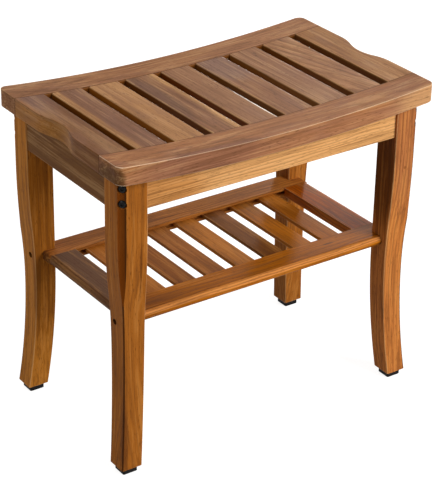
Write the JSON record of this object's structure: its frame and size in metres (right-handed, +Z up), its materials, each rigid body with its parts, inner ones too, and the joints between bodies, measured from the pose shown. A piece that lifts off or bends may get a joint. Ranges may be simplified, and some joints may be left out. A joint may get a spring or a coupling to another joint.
{
  "type": "slatted shower bench",
  "caption": "Teak shower bench: a dished slatted seat with hand-grip ends on S-curved legs, with a slatted lower shelf.",
  "frame": {"origin": "on the floor, under the middle of the seat", "axes": "+X along the bench's length, +Y from the front to the back, +Z up"},
  "size_m": [0.5, 0.302, 0.459],
  "materials": {
    "teak_mid": "oiled satin",
    "teak_light": "oiled satin",
    "teak_mauve": "oiled satin",
    "teak_dark": "oiled satin",
    "teak_golden": "oiled satin",
    "teak_leg": "oiled satin",
    "teak_shelf": "oiled satin",
    "block_wood": "sawn",
    "black_steel": "black gloss",
    "zinc_steel": "zinc plated",
    "pad_rubber": "matt black"
  },
  "bodies": {
    "root": {"seat_front_rail": "teak_mid", "seat_back_rail": "teak_mid", "seat_end_left": "teak_mauve", "seat_end_right": "teak_mid", "seat_slat_1": "teak_mauve", "seat_slat_2": "teak_light", "seat_slat_3": "teak_dark", "seat_slat_4": "teak_mid", "seat_slat_5": "teak_mauve", "seat_slat_6": "teak_mid", "seat_slat_7": "teak_light", "apron_front": "teak_golden", "apron_back": "teak_mid", "apron_left": "teak_dark", "apron_right": "teak_mid", "leg_front_left": "teak_leg", "leg_front_right": "teak_leg", "leg_back_left": "teak_leg", "leg_back_right": "teak_leg", "block_front_left": "block_wood", "block_front_right": "block_wood", "block_back_left": "block_wood", "block_back_right": "block_wood", "leg_bolts": "black_steel", "bolt_washers": "zinc_steel", "bolt_nuts": "zinc_steel", "seat_screws": "zinc_steel", "shelf_front_rail": "teak_golden", "shelf_back_rail": "teak_shelf", "shelf_end_left": "teak_dark", "shelf_end_right": "teak_shelf", "shelf_slat_1": "teak_shelf", "shelf_slat_2": "teak_shelf", "shelf_slat_3": "teak_shelf", "shelf_slat_4": "teak_shelf", "shelf_slat_5": "teak_shelf", "shelf_slat_6": "teak_shelf", "shelf_slat_7": "teak_shelf", "shelf_screws": "zinc_steel", "pad_front_left": "pad_rubber", "pad_front_right": "pad_rubber", "pad_back_left": "pad_rubber", "pad_back_right": "pad_rubber", "pad_screws": "zinc_steel"}
  },
  "joints": []
}
